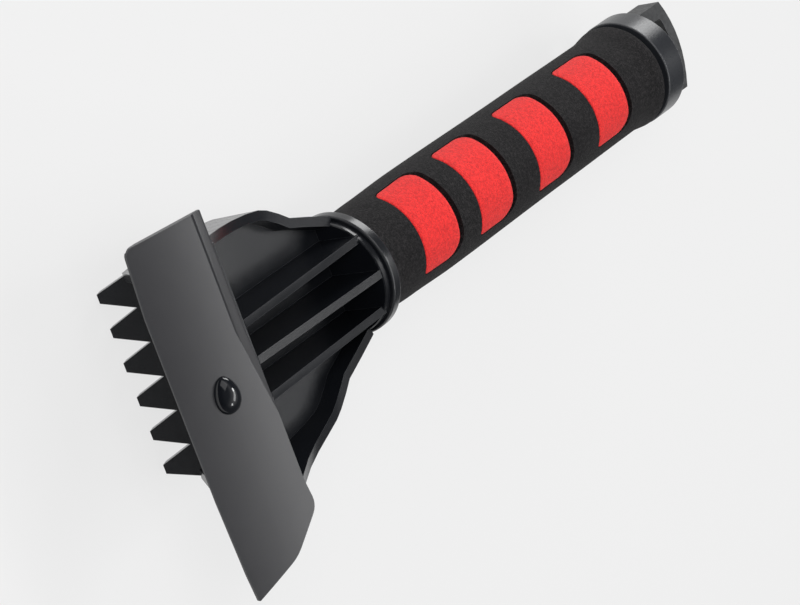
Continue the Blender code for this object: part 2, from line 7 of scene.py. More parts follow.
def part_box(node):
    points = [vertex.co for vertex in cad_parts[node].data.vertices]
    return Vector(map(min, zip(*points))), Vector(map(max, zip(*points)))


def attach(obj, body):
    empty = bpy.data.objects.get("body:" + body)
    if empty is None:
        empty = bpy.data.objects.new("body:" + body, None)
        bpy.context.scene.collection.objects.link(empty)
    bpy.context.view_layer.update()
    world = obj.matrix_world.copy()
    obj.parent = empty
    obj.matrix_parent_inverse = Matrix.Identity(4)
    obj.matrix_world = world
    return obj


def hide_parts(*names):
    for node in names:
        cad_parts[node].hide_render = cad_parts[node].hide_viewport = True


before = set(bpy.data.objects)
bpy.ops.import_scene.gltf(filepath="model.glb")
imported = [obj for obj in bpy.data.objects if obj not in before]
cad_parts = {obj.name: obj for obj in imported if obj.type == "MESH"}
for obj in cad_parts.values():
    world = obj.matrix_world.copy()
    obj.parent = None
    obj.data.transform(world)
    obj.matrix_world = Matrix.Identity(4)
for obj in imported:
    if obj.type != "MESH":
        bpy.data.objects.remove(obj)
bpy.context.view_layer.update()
print("frame loaded")

# the collar's rear face on the handle's axis: inPlace takes a place in mm from here
collarLow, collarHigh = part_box("collar_ring")
home = Vector((collarLow.x, (collarLow.y + collarHigh.y) / 2, (collarLow.z + collarHigh.z) / 2))
bladeTilt = math.radians(14.05)


def inPlace(x, y=0.0, z=0.0):
    return home + Vector((x, y, z)) * 0.001


def clearSelection():
    if bpy.context.object and bpy.context.object.mode != "OBJECT":
        bpy.ops.object.mode_set(mode="OBJECT")
    bpy.ops.object.select_all(action="DESELECT")


def pick(piece):
    clearSelection()
    piece.select_set(True)
    bpy.context.view_layer.objects.active = piece


def toEdit(piece):
    pick(piece)
    bpy.ops.object.mode_set(mode="EDIT")
    bpy.ops.mesh.select_all(action="SELECT")


def toObject():
    bpy.ops.object.mode_set(mode="OBJECT")


def settle(piece):
    # puts the piece's place, turn and scale into its mesh
    pick(piece)
    bpy.ops.object.transform_apply(location=True, rotation=True, scale=True)


def addModifier(piece, kind, **settings):
    modifier = piece.modifiers.new(kind.lower(), kind)
    for key, value in settings.items():
        setattr(modifier, key, value)
    pick(piece)
    bpy.ops.object.modifier_apply(modifier=modifier.name)


def cutWith(piece, tool):
    addModifier(piece, "BOOLEAN", operation="DIFFERENCE", solver="EXACT", object=tool)
    bpy.data.objects.remove(tool, do_unlink=True)


def smoothBy(piece, degrees):
    pick(piece)
    bpy.ops.object.shade_smooth_by_angle(angle=math.radians(degrees))


def copyNode(node, name):
    # a merged copy of a CAD solid, with its flat faces whole again
    piece = bpy.data.objects.new(name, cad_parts[node].data.copy())
    bpy.context.scene.collection.objects.link(piece)
    piece.data.materials.clear()
    toEdit(piece)
    bpy.ops.mesh.customdata_custom_splitnormals_clear()
    bpy.ops.mesh.remove_doubles(threshold=0.000002)
    bpy.ops.mesh.dissolve_limited(angle_limit=math.radians(0.6))
    toObject()
    return piece


def softEdges(piece, width, segments=2, angle=38, smooth=34):
    addModifier(
        piece,
        "BEVEL",
        width=width * 0.001,
        segments=segments,
        limit_method="ANGLE",
        angle_limit=math.radians(angle),
        use_clamp_overlap=True,
    )
    smoothBy(piece, smooth)
    addModifier(piece, "WEIGHTED_NORMAL", keep_sharp=True)


def turnedPiece(name, profile, steps=96):
    # the half section is drawn point by point in (x, radius) and spun about the handle's axis
    clearSelection()
    bpy.ops.mesh.primitive_plane_add(size=0.001, location=inPlace(profile[0][0], 0, profile[0][1]))
    piece = bpy.context.object
    piece.name = name
    bpy.ops.object.mode_set(mode="EDIT")
    bpy.ops.mesh.select_all(action="SELECT")
    bpy.ops.mesh.merge(type="CENTER")
    for (x0, r0), (x1, r1) in zip(profile, profile[1:]):
        step = ((x1 - x0) * 0.001, 0, (r1 - r0) * 0.001)
        bpy.ops.mesh.extrude_vertices_move(TRANSFORM_OT_translate={"value": step})
    bpy.ops.mesh.select_all(action="SELECT")
    bpy.ops.mesh.spin(steps=steps, angle=2 * math.pi, center=home, axis=(1, 0, 0))
    bpy.ops.mesh.select_all(action="SELECT")
    bpy.ops.mesh.remove_doubles(threshold=0.000004)
    bpy.ops.mesh.normals_make_consistent(inside=False)
    toObject()
    settle(piece)
    return piece


def addNode(tree, kind, **values):
    node = tree.nodes.new(kind)
    for key, value in values.items():
        setattr(node, key, value)
    return node


def join(tree, source, target):
    tree.links.new(source, target)


def newGroup(name, inputs, outputs):
    tree = bpy.data.node_groups.new(name, "ShaderNodeTree")
    for label, value in inputs.items():
        socket = tree.interface.new_socket(label, in_out="INPUT", socket_type="NodeSocketFloat")
        socket.default_value = value
    for label in outputs:
        tree.interface.new_socket(label, in_out="OUTPUT", socket_type="NodeSocketFloat")
    return tree, tree.nodes.new("NodeGroupInput"), tree.nodes.new("NodeGroupOutput")


def math2(tree, operation, first, second, clamp=False):
    node = tree.nodes.new("ShaderNodeMath")
    node.operation = operation
    node.use_clamp = clamp
    for socket, value in zip(node.inputs, (first, second)):
        if isinstance(value, (int, float)):
            socket.default_value = value
        else:
            join(tree, value, socket)
    return node.outputs[0]


def noiseAt(tree, coordinates, scale, detail, rough):
    node = tree.nodes.new("ShaderNodeTexNoise")
    node.inputs["Detail"].default_value = detail
    node.inputs["Roughness"].default_value = rough
    if isinstance(scale, (int, float)):
        node.inputs["Scale"].default_value = scale
    else:
        join(tree, scale, node.inputs["Scale"])
    join(tree, coordinates, node.inputs["Vector"])
    return node.outputs["Fac"]


def makeEdgeWearAndHighlight():
    # a mask that rises along edges, broken up by noise; on the plastics the light edge colour it brings in
    # is partly wear and partly painted highlight, on the foam and metal it is wear
    tree, source, result = newGroup("edgeWearAndHighlight", {"Radius": 0.0005, "Strength": 3.0}, ["Mask"])
    bevel = addNode(tree, "ShaderNodeBevel", samples=4)
    shape = tree.nodes.new("ShaderNodeNewGeometry")
    dot = addNode(tree, "ShaderNodeVectorMath", operation="DOT_PRODUCT")
    place = tree.nodes.new("ShaderNodeTexCoord")
    join(tree, source.outputs["Radius"], bevel.inputs["Radius"])
    join(tree, bevel.outputs["Normal"], dot.inputs[0])
    join(tree, shape.outputs["Normal"], dot.inputs[1])
    turn = math2(tree, "SUBTRACT", 1.0, dot.outputs["Value"])
    breakUp = math2(tree, "ADD", noiseAt(tree, place.outputs["Object"], 420.0, 4.0, 0.6), 0.35)
    mask = math2(tree, "MULTIPLY", math2(tree, "MULTIPLY", turn, source.outputs["Strength"]), breakUp, True)
    join(tree, mask, result.inputs["Mask"])
    return tree


def makeMouldGrain():
    # fine texture of a moulded face: Height for the bump, Cloud for slow changes, Fine for specks
    inputs, outputs = {"Scale": 2600.0, "Flow": 30.0}, ["Height", "Cloud", "Fine"]
    tree, source, result = newGroup("mouldGrain", inputs, outputs)
    place = tree.nodes.new("ShaderNodeTexCoord")
    fine = noiseAt(tree, place.outputs["Object"], source.outputs["Scale"], 4.0, 0.62)
    cloud = noiseAt(tree, place.outputs["Object"], source.outputs["Flow"], 3.0, 0.5)
    ripple = noiseAt(tree, place.outputs["Object"], 160.0, 2.0, 0.4)
    height = math2(tree, "ADD", math2(tree, "MULTIPLY", fine, 0.6), math2(tree, "MULTIPLY", ripple, 1.6))
    join(tree, height, result.inputs["Height"])
    join(tree, cloud, result.inputs["Cloud"])
    join(tree, fine, result.inputs["Fine"])
    return tree


def makeFoamCells():
    # closed-cell foam: pits between the cells, which the foam material darkens as painted shade, and a
    # mottle of light and dark made from two noises
    tree, source, result = newGroup("foamCells", {"Scale": 1700.0}, ["Pits", "Mottle", "Height"])
    place = tree.nodes.new("ShaderNodeTexCoord")
    cells = tree.nodes.new("ShaderNodeTexVoronoi")
    cells.feature = "F1"
    join(tree, place.outputs["Object"], cells.inputs["Vector"])
    join(tree, source.outputs["Scale"], cells.inputs["Scale"])
    fineScale = math2(tree, "MULTIPLY", source.outputs["Scale"], 1.3)
    coarseScale = math2(tree, "MULTIPLY", source.outputs["Scale"], 0.42)
    grit = noiseAt(tree, place.outputs["Object"], fineScale, 3.0, 0.7)
    patch = noiseAt(tree, place.outputs["Object"], coarseScale, 3.0, 0.65)
    pits = math2(tree, "MULTIPLY", math2(tree, "SUBTRACT", cells.outputs["Distance"], 0.42), 2.6, True)
    mottle = math2(tree, "ADD", math2(tree, "MULTIPLY", grit, 0.55), math2(tree, "MULTIPLY", patch, 0.45))
    height = math2(tree, "SUBTRACT", math2(tree, "MULTIPLY", mottle, 1.4), pits)
    join(tree, pits, result.inputs["Pits"])
    join(tree, mottle, result.inputs["Mottle"])
    join(tree, height, result.inputs["Height"])
    return tree


def makeDust():
    # dust that settles on what faces up, in soft patches with a few specks
    tree, source, result = newGroup("settledDust", {"Amount": 0.2}, ["Mask"])
    place = tree.nodes.new("ShaderNodeTexCoord")
    shape = tree.nodes.new("ShaderNodeNewGeometry")
    split = tree.nodes.new("ShaderNodeSeparateXYZ")
    join(tree, shape.outputs["Normal"], split.inputs[0])
    patch = math2(tree, "SUBTRACT", noiseAt(tree, place.outputs["Object"], 75.0, 5.0, 0.6), 0.4, True)
    specks = math2(tree, "SUBTRACT", noiseAt(tree, place.outputs["Object"], 2300.0, 2.0, 0.5), 0.68, True)
    film = math2(tree, "MULTIPLY", patch, 0.8)
    both = math2(tree, "ADD", film, math2(tree, "MULTIPLY", specks, 4.0), True)
    facing = math2(tree, "MULTIPLY", split.outputs["Z"], both, True)
    join(tree, math2(tree, "MULTIPLY", facing, source.outputs["Amount"], True), result.inputs["Mask"])
    return tree


edgeWearAndHighlight, mouldGrain, foamCells, settledDust = makeEdgeWearAndHighlight(), makeMouldGrain(), makeFoamCells(), makeDust()


def useGroup(tree, group, **values):
    node = tree.nodes.new("ShaderNodeGroup")
    node.node_tree = group
    for key, value in values.items():
        node.inputs[key].default_value = value
    return node


def mixColour(tree, mask, first, second):
    node = tree.nodes.new("ShaderNodeMix")
    node.data_type = "RGBA"
    node.blend_type = "MIX"
    node.clamp_factor = True
    for socket, value in ((node.inputs[6], first), (node.inputs[7], second)):
        if isinstance(value, tuple):
            socket.default_value = (*value, 1.0)
        else:
            join(tree, value, socket)
    join(tree, mask, node.inputs[0])
    return node.outputs[2]


def spread(tree, value, low, high, start=0.3, end=0.7):
    node = tree.nodes.new("ShaderNodeMapRange")
    for key, number in (("From Min", start), ("From Max", end), ("To Min", low), ("To Max", high)):
        node.inputs[key].default_value = number
    join(tree, value, node.inputs["Value"])
    return node.outputs["Result"]


def bumpFrom(tree, height, strength, distance):
    node = tree.nodes.new("ShaderNodeBump")
    node.inputs["Strength"].default_value = strength
    node.inputs["Distance"].default_value = distance
    join(tree, height, node.inputs["Height"])
    return node.outputs["Normal"]


def startMaterial(name, **plain):
    material = bpy.data.materials.new(name)
    material.use_nodes = True
    shader = material.node_tree.nodes["Principled BSDF"]
    for key, value in plain.items():
        shader.inputs[key].default_value = value
    return material, material.node_tree, shader


dustColours = {"plastic": (0.55, 0.55, 0.56), "foam": (0.5, 0.49, 0.48)}
bumpDepths = {"plastic": 0.0001, "foam": 0.00018, "metal": 0.0001}  # in metres


def mouldedPlastic(name, look):
    material, tree, shader = startMaterial(name)
    shader.inputs["IOR"].default_value = look["ior"]
    grain = useGroup(tree, mouldGrain, Scale=look["grainScale"], Flow=look["flow"])
    edgeMask = useGroup(tree, edgeWearAndHighlight, Radius=look["edgeWidth"], Strength=look["edgeStrength"])
    dust = useGroup(tree, settledDust, Amount=look["dust"])
    cloudMask = spread(tree, grain.outputs["Cloud"], 0.0, 1.0)
    body = mixColour(tree, cloudMask, look["colour"], look["colourLight"])
    # edge colour: partly wear and partly a painted highlight along the edges
    edged = mixColour(tree, edgeMask.outputs["Mask"], body, look["edgeColour"])
    dusty = mixColour(tree, dust.outputs["Mask"], edged, dustColours["plastic"])
    join(tree, dusty, shader.inputs["Base Color"])
    rough = spread(tree, grain.outputs["Fine"], look["roughLow"], look["roughHigh"])
    added = math2(tree, "ADD", rough, math2(tree, "MULTIPLY", edgeMask.outputs["Mask"], look["edgeRough"]))
    dulled = math2(tree, "ADD", added, math2(tree, "MULTIPLY", dust.outputs["Mask"], 0.5), True)
    join(tree, dulled, shader.inputs["Roughness"])
    bump = bumpFrom(tree, grain.outputs["Height"], look["bump"], bumpDepths["plastic"])
    join(tree, bump, shader.inputs["Normal"])
    return material


def foam(name, look):
    material, tree, shader = startMaterial(name)
    shader.inputs["Specular IOR Level"].default_value = look["specular"]
    shader.inputs["Sheen Weight"].default_value = look["sheen"]
    shader.inputs["Sheen Roughness"].default_value = 0.6
    cells = useGroup(tree, foamCells, Scale=look["cells"])
    edgeMask = useGroup(tree, edgeWearAndHighlight, Radius=0.0006, Strength=1.6)
    dust = useGroup(tree, settledDust, Amount=look["dust"])
    speckle = spread(tree, cells.outputs["Mottle"], 0.0, 1.0, look["speckleStart"], look["speckleEnd"])
    body = mixColour(tree, speckle, look["colourDark"], look["colour"])
    # the pits are darkened towards the pit colour: painted shade in the foam's pits
    pitMask = math2(tree, "MULTIPLY", cells.outputs["Pits"], look["pitShadeAmount"], True)
    pitShaded = mixColour(tree, pitMask, body, look["pitShadeColour"])
    wearMask = math2(tree, "MULTIPLY", edgeMask.outputs["Mask"], 0.5, True)
    worn = mixColour(tree, wearMask, pitShaded, look["colourWorn"])
    dusty = mixColour(tree, dust.outputs["Mask"], worn, dustColours["foam"])
    join(tree, dusty, shader.inputs["Base Color"])
    rough = spread(tree, cells.outputs["Mottle"], look["roughLow"], look["roughHigh"])
    join(tree, rough, shader.inputs["Roughness"])
    bump = bumpFrom(tree, cells.outputs["Height"], look["bump"], bumpDepths["foam"])
    join(tree, bump, shader.inputs["Normal"])
    return material


def plainMetal(name, look):
    material, tree, shader = startMaterial(name, Metallic=1.0)
    grain = useGroup(tree, mouldGrain, Scale=look["grainScale"], Flow=40.0)
    edgeMask = useGroup(tree, edgeWearAndHighlight, Radius=0.0004, Strength=2.0)
    cloudMask = spread(tree, grain.outputs["Cloud"], 0.0, 1.0)
    body = mixColour(tree, cloudMask, look["colour"], look["colourDark"])
    join(tree, mixColour(tree, edgeMask.outputs["Mask"], body, look["edgeColour"]), shader.inputs["Base Color"])
    rough = spread(tree, grain.outputs["Fine"], look["roughLow"], look["roughHigh"])
    join(tree, rough, shader.inputs["Roughness"])
    bump = bumpFrom(tree, grain.outputs["Height"], look["bump"], bumpDepths["metal"])
    join(tree, bump, shader.inputs["Normal"])
    return material


glossBlack = {
    "ior": 1.5,
    "colour": (0.0045, 0.0052, 0.0068),
    "colourLight": (0.008, 0.009, 0.0115),
    "edgeColour": (0.035, 0.037, 0.041),
    "edgeWidth": 0.0004,
    "edgeStrength": 1.6,
    "edgeRough": 0.18,
    "roughLow": 0.17,
    "roughHigh": 0.27,
    "grainScale": 2600.0,
    "flow": 28.0,
    "bump": 0.12,
    "dust": 0.035,
}
satinBlade = dict(
    glossBlack,
    colour=(0.012, 0.012, 0.0145),
    colourLight=(0.0155, 0.0155, 0.018),
    edgeColour=(0.06, 0.061, 0.066),
    edgeStrength=1.2,
    roughLow=0.29,
    roughHigh=0.37,
    bump=0.10,
    dust=0.02,
)
slateSatin = dict(
    glossBlack,
    colour=(0.015, 0.0165, 0.020),
    colourLight=(0.022, 0.024, 0.028),
    # the light edge colour paints highlight lines along the ring's edges
    edgeColour=(0.32, 0.325, 0.335),
    edgeWidth=0.0005,
    edgeStrength=5.0,
    roughLow=0.26,
    roughHigh=0.36,
    bump=0.14,
)
sparkedBlack = dict(
    glossBlack,
    colour=(0.017, 0.018, 0.019),
    colourLight=(0.036, 0.037, 0.039),
    edgeColour=(0.12, 0.122, 0.125),
    roughLow=0.42,
    roughHigh=0.62,
    grainScale=1100.0,
    flow=900.0,
    bump=0.9,
    dust=0.05,
)
washerBlack = dict(
    glossBlack,
    colour=(0.003, 0.003, 0.0035),
    colourLight=(0.005, 0.005, 0.0055),
    edgeColour=(0.014, 0.014, 0.015),
    roughLow=0.5,
    roughHigh=0.7,
    bump=0.3,
    dust=0.0,
)
blackFoam = {
    "colour": (0.028, 0.0255, 0.0268),
    "colourDark": (0.0035, 0.0033, 0.0037),
    "colourWorn": (0.036, 0.033, 0.034),
    "pitShadeColour": (0.004, 0.004, 0.0045),
    "pitShadeAmount": 0.9,
    "speckleStart": 0.45,
    "speckleEnd": 0.58,
    "cells": 2500.0,
    "specular": 0.16,
    "sheen": 0.02,
    "roughLow": 0.75,
    "roughHigh": 0.95,
    "bump": 0.55,
    "dust": 0.03,
}
# a darker, glossier copy of the rings' slate finish: the darkening is painted shade on the collar, and the
# light edge colour is a painted highlight along its edges
collarShadedGloss = dict(
    glossBlack,
    colour=(0.007, 0.0077, 0.0095),
    colourLight=(0.011, 0.012, 0.0145),
    edgeColour=(0.34, 0.345, 0.355),
    edgeWidth=0.0005,
    edgeStrength=4.5,
)
polishedBlack = dict(glossBlack, roughLow=0.06, roughHigh=0.09, bump=0.02, edgeStrength=0.3, dust=0.0)
redFoam = dict(
    blackFoam,
    colour=(0.84, 0.030, 0.027),
    colourDark=(0.50, 0.009, 0.010),
    colourWorn=(0.90, 0.10, 0.085),
    pitShadeColour=(0.42, 0.010, 0.012),
    pitShadeAmount=0.4,
    speckleStart=0.38,
    speckleEnd=0.56,
    cells=2300.0,
    sheen=0.06,
    specular=0.3,
    dust=0.0,
)
drawnTube = {
    "colour": (0.62, 0.63, 0.64),
    "colourDark": (0.50, 0.51, 0.52),
    "edgeColour": (0.85, 0.85, 0.85),
    "roughLow": 0.28,
    "roughHigh": 0.42,
    "grainScale": 900.0,
    "bump": 0.25,
}
zincPlate = dict(drawnTube, colour=(0.56, 0.56, 0.53), colourDark=(0.42, 0.42, 0.38), grainScale=1400.0)

materials = {
    "gloss_black_plastic": mouldedPlastic("glossBlack", glossBlack),
    "blade_grey_plastic": mouldedPlastic("satinBlade", satinBlade),
    "collar_shaded_gloss": mouldedPlastic("collarShadedGloss", collarShadedGloss),
    "polished_button": mouldedPlastic("polishedBlack", polishedBlack),
    "slate_plastic": mouldedPlastic("slateSatin", slateSatin),
    "textured_black_plastic": mouldedPlastic("sparkedBlack", sparkedBlack),
    "washer_rubber": mouldedPlastic("washerBlack", washerBlack),
    "black_foam": foam("blackFoam", blackFoam),
    "red_foam": foam("redFoam", redFoam),
    "tube_aluminium": plainMetal("drawnTube", drawnTube),
    "zinc_steel": plainMetal("zincPlate", zincPlate),
}
print("materials made")


def mount(piece, node, slot, finish=None):
    # the piece stands for a CAD node and takes the node's finish, or a variant of it
    piece.data.materials.clear()
    piece.data.materials.append(materials[finish or slot])
    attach(piece, "root")
    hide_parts(node)
    print("made", piece.name)


cameraView = {
    "right": Vector((-0.5657, 0.3340, 0.7539)),
    "up": Vector((-0.4166, -0.9048, 0.0883)),
    "back": Vector((0.7116, -0.2642, 0.6510)),
    "offset": (0.01485, -0.008958, 1.1322),
    "lens": 179.7,
}
camera = bpy.data.objects.new("camera", bpy.data.cameras.new("camera"))
camera.data.lens = cameraView["lens"]
camera.data.sensor_width = 36.0
camera.data.clip_start = 0.05
sides = (cameraView["right"], cameraView["up"], cameraView["back"])
camera.matrix_world = Matrix.Translation(
    home + sum((side * reach for side, reach in zip(sides, cameraView["offset"])), Vector())
) @ Matrix(sides).transposed().to_4x4()
bpy.context.scene.collection.objects.link(camera)
bpy.context.scene.camera = camera


headLook = {"edge": 0.32}


def makeHead():
    head = copyNode("head_body", "mouldedHead")
    softEdges(head, headLook["edge"])
    mount(head, "head_body", "gloss_black_plastic")


makeHead()


bladeLook = {
    "centre": (85.1, 0.0, 22.85),  # middle of the top face
    "halfWidth": 14.6,
    "thickness": 2.2,
    "crown": 0.0030,  # drop per mm squared away from the middle
    "cuts": 14,
    "edge": 0.22,
    "facetTurn": 11,  # degrees above which a change of slope stays sharp
}


def bladeFrame():
    return Matrix.Translation(inPlace(*bladeLook["centre"])) @ Matrix.Rotation(bladeTilt, 4, "Y")


def makeBlade():
    blade = copyNode("scraper_blade", "scraperBlade")
    place = bladeFrame()
    across = place.to_3x3() @ Vector((1, 0, 0))
    toEdit(blade)
    for k in range(1, bladeLook["cuts"]):
        u = bladeLook["halfWidth"] * (2 * k / bladeLook["cuts"] - 1)
        bpy.ops.mesh.select_all(action="SELECT")
        bpy.ops.mesh.bisect(plane_co=place @ Vector((u * 0.001, 0, 0)), plane_no=across)
    toObject()
    for vert in blade.data.vertices:  # a slight crown across the top face
        flat = place.inverted() @ vert.co
        if flat.z > -0.5 * bladeLook["thickness"] * 0.001:
            flat.z -= bladeLook["crown"] * (flat.x * 1000) ** 2 * 0.001
            vert.co = place @ flat
    softEdges(blade, bladeLook["edge"], angle=30, smooth=bladeLook["facetTurn"])
    mount(blade, "scraper_blade", "blade_grey_plastic")


makeBlade()


buttonLook = {
    "halfWidth": 4.2,
    "halfLength": 5.5,
    "height": 3.6,
    "taper": 0.30,
    "edge": 0.3,
    "shank": 2.0,
    "reach": 9.0,
    "overlap": 0.5,  # how far the shank runs up into the head
    "lift": 0.3,
}


def makeButton():
    clearSelection()
    bpy.ops.mesh.primitive_uv_sphere_add(segments=64, ring_count=32, radius=0.001)
    button = bpy.context.object
    button.name = "eggButton"
    bpy.ops.object.mode_set(mode="EDIT")
    bpy.ops.mesh.select_all(action="SELECT")
    bpy.ops.mesh.bisect(plane_co=(0, 0, 0), plane_no=(0, 0, 1), use_fill=True, clear_inner=True)
    bpy.ops.mesh.select_all(action="SELECT")
    size = buttonLook["halfWidth"], buttonLook["halfLength"], buttonLook["height"]
    bpy.ops.transform.resize(value=size)
    toObject()
    addModifier(
        button,
        "SIMPLE_DEFORM",
        deform_method="TAPER",
        deform_axis="Y",
        factor=buttonLook["taper"],
        lock_z=True,
    )
    edge = buttonLook["edge"] * 0.001
    addModifier(button, "BEVEL", width=edge, segments=3, limit_method="ANGLE", angle_limit=math.radians(50))
    bpy.ops.mesh.primitive_cylinder_add(
        vertices=32,
        radius=buttonLook["shank"] * 0.001,
        depth=buttonLook["reach"] * 0.001,
        location=(0, 0, (buttonLook["overlap"] - buttonLook["reach"] / 2) * 0.001),
    )
    shank = bpy.context.object
    bpy.ops.object.mode_set(mode="EDIT")
    bpy.ops.mesh.select_all(action="SELECT")
    bpy.ops.mesh.bevel(offset=edge, segments=2)
    toObject()
    settle(shank)
    pick(button)
    shank.select_set(True)
    bpy.ops.object.join()
    button.matrix_world = bladeFrame() @ Matrix.Translation((0, 0, buttonLook["lift"] * 0.001))
    settle(button)
    smoothBy(button, 40)
    mount(button, "blade_stud", "gloss_black_plastic", "polished_button")


makeButton()


ringLook = {
    "collar": {
        "outer": 18.5,
        "bore": 11.3,
        "front": 3.4,
        "rear": 0.0,
        "soft": 0.6,
        "finish": "collar_shaded_gloss",
    },
    "tail": {"outer": 17.2, "bore": 11.9, "front": -147.9, "rear": -156.7, "soft": 0.4},
    "washer": {"outer": 15.0, "bore": 11.3, "front": -146.2, "rear": -147.6, "soft": 0.35},
}


def makeRing(name, node, slot, look):
    # a ring with both outer edges rounded and a small chamfer at each end of its bore
    front, rear, outer, bore, soft = look["front"], look["rear"], look["outer"], look["bore"], look["soft"]
    chamfer = 0.2
    turns = (0.4, 0.8, 1.2)
    profile = [(front, bore + chamfer), (front, outer - soft)]
    for a in turns:
        profile.append((front - soft * (1 - math.cos(a)), outer - soft * (1 - math.sin(a))))
    profile += [(front - soft, outer), (rear + soft, outer)]
    for a in turns[::-1]:
        profile.append((rear + soft * (1 - math.cos(a)), outer - soft * (1 - math.sin(a))))
    profile += [(rear, outer - soft), (rear, bore + chamfer), (rear + chamfer, bore)]
    profile += [(front - chamfer, bore), (front, bore + chamfer)]
    ring = turnedPiece(name, profile)
    smoothBy(ring, 30)
    addModifier(ring, "WEIGHTED_NORMAL", keep_sharp=True)
    mount(ring, node, slot, look.get("finish"))


makeRing("collarRing", "collar_ring", "slate_plastic", ringLook["collar"])
makeRing("tailRing", "tail_ring", "slate_plastic", ringLook["tail"])
makeRing("tailWasher", "tail_washer", "washer_rubber", ringLook["washer"])


gripLook = {
    "front": -0.3,
    "length": 145.6,
    "frontRadius": 15.7,
    "barrelRadius": 16.6,
    "waistRadius": 16.0,
    "tailRadius": 17.0,
    "flare": 8.0,
    "bore": 11.3,
    "endRound": 0.9,
    "pocketDepth": 3.82,
    "pocketTop": 2.5,  # how far the pocket's cutter stands above the foam
}
inlayLook = {
    "centres": (-24.6, -52.8, -84.5, -117.6),
    "length": 16.8,
    "angle": 113.0,
    "turn": -18.5,
    "depth": 3.5,
    "groove": 1.6,
    "gap": 0.3,
    "round": 0.45,
    # corner radii: head side and tail side, at the low-angle end and then at the high-angle end
    "headLow": 2.4,
    "headHigh": 1.0,
    "tailLow": 4.4,
    "tailHigh": 6.5,
    "cuts": 26,
}


def gripRadius(x):
    front, tail = gripLook["front"], gripLook["front"] - gripLook["length"]
    length = gripLook["length"]
    knots = (
        (tail, gripLook["tailRadius"]),
        (tail + gripLook["flare"], gripLook["waistRadius"]),
        (tail + 0.35 * length, gripLook["waistRadius"] + 0.2),
        (front - 0.24 * length, gripLook["barrelRadius"]),
        (front - 0.1 * length, gripLook["frontRadius"] + 0.5),
        (front, gripLook["frontRadius"]),
    )
    for (x0, r0), (x1, r1) in zip(knots, knots[1:]):
        if x <= x1:
            share = max(0.0, (x - x0) / (x1 - x0))
            return r0 + (r1 - r0) * (3 - 2 * share) * share * share
    return gripLook["frontRadius"]


def wrapRoundGrip(piece):
    # x stays, y runs round the grip and z is height above its surface, all in mm
    for vert in piece.data.vertices:
        x, along, height = vert.co
        radius = gripRadius(x) + height
        turn = along / gripLook["barrelRadius"] + math.radians(inlayLook["turn"])
        vert.co = inPlace(x, radius * math.sin(turn), radius * math.cos(turn))


def makePatch(name, centre, grow, tailGrow, low, high, soft):
    # a block over the patch, drawn flat in mm, its corners rounded one by one, then wrapped
    near, slices = 0.01, 6
    half = math.radians(inlayLook["angle"] / 2) * gripLook["barrelRadius"] + grow
    front = centre + inlayLook["length"] / 2 + grow
    tail = centre - inlayLook["length"] / 2 - grow - tailGrow
    clearSelection()
    bpy.ops.mesh.primitive_cube_add(size=1.0, location=((front + tail) / 2, 0, (low + high) / 2))
    patch = bpy.context.object
    patch.name = name
    patch.scale = (front - tail, 2 * half, high - low)
    settle(patch)
    corners = (
        (front, -half, inlayLook["headLow"]),
        (front, half, inlayLook["headHigh"]),
        (tail, -half, inlayLook["tailLow"]),
        (tail, half, inlayLook["tailHigh"]),
    )
    for x, y, radius in corners:
        for edge in patch.data.edges:
            ends = [patch.data.vertices[i].co for i in edge.vertices]
            edge.select = all(abs(end.x - x) < near and abs(end.y - y) < near for end in ends)
        for vert in patch.data.vertices:
            vert.select = abs(vert.co.x - x) < near and abs(vert.co.y - y) < near
        for face in patch.data.polygons:
            face.select = False
        pick(patch)
        bpy.ops.object.mode_set(mode="EDIT")
        bpy.context.tool_settings.mesh_select_mode = (False, True, False)
        bpy.ops.mesh.bevel(offset=radius + grow, segments=8, affect="EDGES")
        toObject()
    if soft:
        for face in patch.data.polygons:
            face.select = face.normal.z > 0.9
        for edge in patch.data.edges:
            ends = [patch.data.vertices[i].co for i in edge.vertices]
            edge.select = all(end.z > high - near for end in ends)
        pick(patch)
        bpy.ops.object.mode_set(mode="EDIT")
        bpy.ops.mesh.bevel(offset=soft, segments=3, affect="EDGES")
        toObject()
    toEdit(patch)
    for k in range(1, inlayLook["cuts"]):
        bpy.ops.mesh.select_all(action="SELECT")
        bpy.ops.mesh.bisect(plane_co=(0, half * (2 * k / inlayLook["cuts"] - 1), 0), plane_no=(0, 1, 0))
    for k in range(1, slices):
        bpy.ops.mesh.select_all(action="SELECT")
        bpy.ops.mesh.bisect(plane_co=(tail + (front - tail) * k / slices, 0, 0), plane_no=(1, 0, 0))
    toObject()
    wrapRoundGrip(patch)
    return patch


